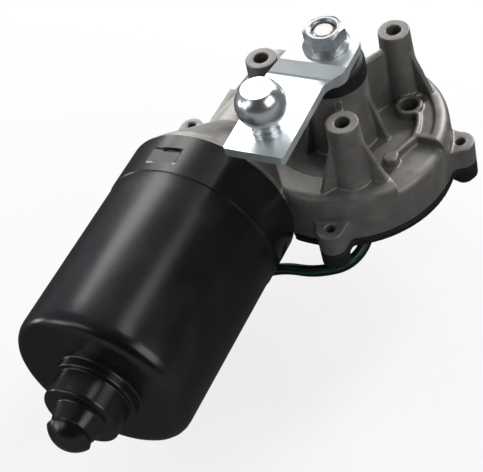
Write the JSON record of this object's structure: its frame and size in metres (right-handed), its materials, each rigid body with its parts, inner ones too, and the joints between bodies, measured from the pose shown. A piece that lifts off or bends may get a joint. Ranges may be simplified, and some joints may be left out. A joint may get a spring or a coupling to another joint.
{
  "type": "wiper motor",
  "caption": "Windscreen wiper gear motor: cylindrical motor driving a worm wheel gearbox with mounting posts, a crank arm with ball stud on the output shaft, and a short lead with plug.",
  "frame": {"origin": "output shaft axis at the mounting plane, which is the plane of the three post tops", "axes": "+Z along the output shaft, out of the gearbox toward the crank; X along the motor axis, the motor's nose at -X; the motor lies on the +Y side of the output shaft"},
  "size_m": [0.1802, 0.1068, 0.1021],
  "materials": {
    "black_paint": "semi-gloss black stoving paint on deep-drawn steel",
    "cast_body": "die-cast aluminium, lightly shot-blasted, warm grey",
    "bright_zinc": "pressed steel, bright zinc plated",
    "polished_zinc": "turned and polished ball, bright plated",
    "zinc_nut": "cold-formed nut, bright zinc plated",
    "zinc_screw": "zinc plated screw",
    "ground_steel": "ground steel, lightly oiled",
    "laminated_steel": "stacked silicon-steel sheet",
    "spring_steel": "spring steel",
    "ferrite": "sintered ferrite, ground bore",
    "sintered_bronze": "oil-filled sintered bronze",
    "copper": "bare copper",
    "copper_coil": "enamelled copper wire",
    "brass": "pressed brass",
    "tinned_brass": "tin-plated brass blade",
    "carbon": "copper graphite brush",
    "card_laminate": "moulded phenolic",
    "white_plastic": "moulded acetal, natural",
    "black_plastic": "glass-filled nylon, black",
    "black_rubber": "moulded rubber, black",
    "gasket_rubber": "sheet rubber gasket",
    "black_sleeve": "soft PVC sleeve, black",
    "green_wire": "PVC insulated wire, dark green",
    "oil_felt": "oiled wool felt"
  },
  "bodies": {
    "housing": {"gear_housing": "cast_body", "gear_cover": "black_plastic", "cover_gasket": "gasket_rubber", "cover_screws": "zinc_screw", "motor_can": "black_paint", "magnet_upper": "ferrite", "magnet_lower": "ferrite", "magnet_clips": "spring_steel", "rear_bush": "sintered_bronze", "rear_clip": "spring_steel", "oil_felt": "oil_felt", "thrust_button": "white_plastic", "front_bush": "sintered_bronze", "front_clip": "spring_steel", "end_bush": "sintered_bronze", "thrust_screw": "zinc_screw", "lock_nut": "zinc_screw", "brush_card": "card_laminate", "brush_holders": "brass", "brush_spring_low": "spring_steel", "brush_spring_common": "spring_steel", "brush_spring_high": "spring_steel", "card_screws": "zinc_screw", "suppression_chokes": "copper_coil", "upper_bush": "sintered_bronze", "lower_bush": "sintered_bronze", "rubber_cap": "black_rubber", "contact_plate": "card_laminate", "leaf_contacts": "copper", "lead_grommet": "black_rubber", "lead_sleeve": "black_sleeve", "lead_green": "green_wire", "lead_plug": "black_plastic", "plug_terminals": "tinned_brass"},
    "output": {"output_shaft": "ground_steel", "worm_wheel": "white_plastic", "contact_disc": "copper", "thrust_washer": "white_plastic", "column_washer": "spring_steel", "circlip": "spring_steel", "crank_arm": "bright_zinc", "ball_stud": "polished_zinc", "crank_nut": "zinc_nut"},
    "armature": {"armature_shaft": "ground_steel", "armature_core": "laminated_steel", "windings": "copper_coil", "commutator_hub": "card_laminate", "commutator_bars": "copper"},
    "brush_low_body": {"brush_low": "carbon"},
    "brush_common_body": {"brush_common": "carbon"},
    "brush_high_body": {"brush_high": "carbon"}
  },
  "joints": [
    {"name": "output_turn", "type": "hinge", "parent": "housing", "child": "output", "pos_m": [0, 0, 0], "axis": [0, 0, 1], "continuous": true},
    {"name": "armature_spin", "type": "hinge", "parent": "housing", "child": "armature", "pos_m": [0, 0.035, -0.0343], "axis": [1, 0, 0], "continuous": true},
    {"name": "brush_low_slide", "type": "slide", "parent": "housing", "child": "brush_low_body", "axis": [0, 1, 0], "range_m": [0, 0.0025], "stiffness_N_per_m": 30, "springref_m": -0.004, "deforming": ["brush_spring_low"]},
    {"name": "brush_common_slide", "type": "slide", "parent": "housing", "child": "brush_common_body", "axis": [0, -1, 0], "range_m": [0, 0.0025], "stiffness_N_per_m": 30, "springref_m": -0.004, "deforming": ["brush_spring_common"]},
    {"name": "brush_high_slide", "type": "slide", "parent": "housing", "child": "brush_high_body", "axis": [0, 0.5, -0.866], "range_m": [0, 0.0025], "stiffness_N_per_m": 30, "springref_m": -0.004, "deforming": ["brush_spring_high"]}
  ],
  "couplings": [
    {"joint": "armature_spin", "follows": "output_turn", "ratio": 48}
  ]
}
